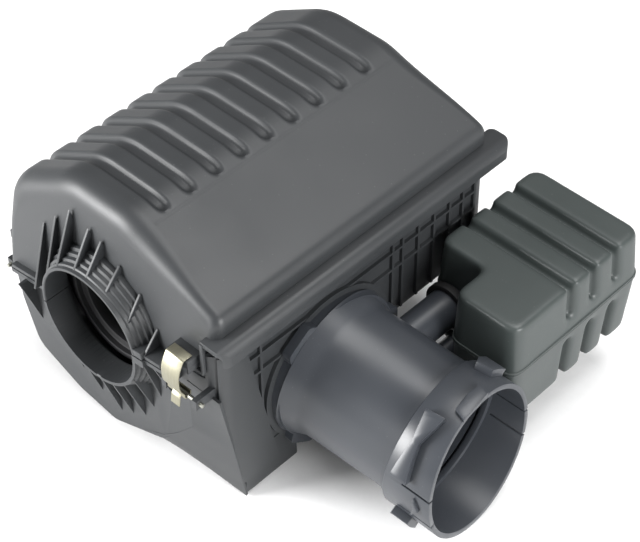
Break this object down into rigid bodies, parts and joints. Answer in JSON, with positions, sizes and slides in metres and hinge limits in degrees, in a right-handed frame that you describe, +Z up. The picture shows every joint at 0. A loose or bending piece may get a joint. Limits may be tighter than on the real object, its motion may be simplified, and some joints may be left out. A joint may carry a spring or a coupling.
{
  "type": "air filter housing",
  "caption": "Two-shell engine air filter housing with an outlet collar, a side inlet duct with a slotted cuff, a ribbed resonator, spring clips and a cylindrical element inside.",
  "frame": {"origin": "centre of the engine outlet collar, on the plane of its lip", "axes": "+Z up, +X towards the inlet duct, -Y out of the outlet collar towards the engine hose"},
  "size_m": [0.3692, 0.3292, 0.215],
  "materials": {
    "charcoal_polypropylene": "fine moulded texture, semi-matt",
    "gloss_black_duct": "smooth moulded, soft sheen",
    "resonator_polypropylene": "blow-moulded, semi-matt",
    "black_rubber": "matt moulded rubber",
    "zinc_spring_steel": "zinc plated strip",
    "zinc_steel": "zinc plated",
    "filter_paper": "resin-treated pleated paper",
    "core_steel": "perforated, galvanised",
    "polyurethane_cap": "cast polyurethane",
    "glue_band": "woven band set in glue"
  },
  "bodies": {
    "case": {"lower_case": "charcoal_polypropylene", "cover_gasket": "black_rubber", "inlet_duct": "gloss_black_duct", "duct_seal_ring": "black_rubber", "inlet_cuff": "gloss_black_duct", "resonator_neck": "gloss_black_duct", "neck_grommet": "black_rubber", "resonator_upper": "resonator_polypropylene", "resonator_lower": "resonator_polypropylene", "resonator_bolt": "zinc_steel", "front_clip_pin": "zinc_steel", "side_clip_pin": "zinc_steel", "hinge_bars": "charcoal_polypropylene", "mount_grommets": "black_rubber", "mount_sleeves": "zinc_steel"},
    "cover": {"upper_cover": "charcoal_polypropylene"},
    "front_clip": {"front_clip": "zinc_spring_steel"},
    "side_clip": {"side_clip": "charcoal_polypropylene"},
    "element": {"filter_pleats": "filter_paper", "filter_core": "core_steel", "filter_front_cap": "polyurethane_cap", "filter_rear_cap": "polyurethane_cap", "pleat_bands": "glue_band"}
  },
  "joints": [
    {"name": "cover_hinge", "type": "hinge", "parent": "case", "child": "cover", "pos_m": [0, 0.291, 0], "axis": [-0.9903, 0, -0.1392], "range_deg": [0, 80]},
    {"name": "front_clip_swing", "type": "hinge", "parent": "case", "child": "front_clip", "pos_m": [0.087, 0.004, 0.002], "axis": [1, 0, 0], "range_deg": [0, 85]},
    {"name": "side_clip_swing", "type": "hinge", "parent": "case", "child": "side_clip", "pos_m": [-0.11, 0.038, -0.032], "axis": [0, -1, 0], "range_deg": [0, 85]},
    {"name": "element_lift", "type": "slide", "parent": "case", "child": "element", "axis": [0, 0, 1], "range_m": [0, 0.1]}
  ],
  "couplings": [
    {"joint": "element_lift", "follows": "cover_hinge", "m_per_rad": 0.07}
  ]
}
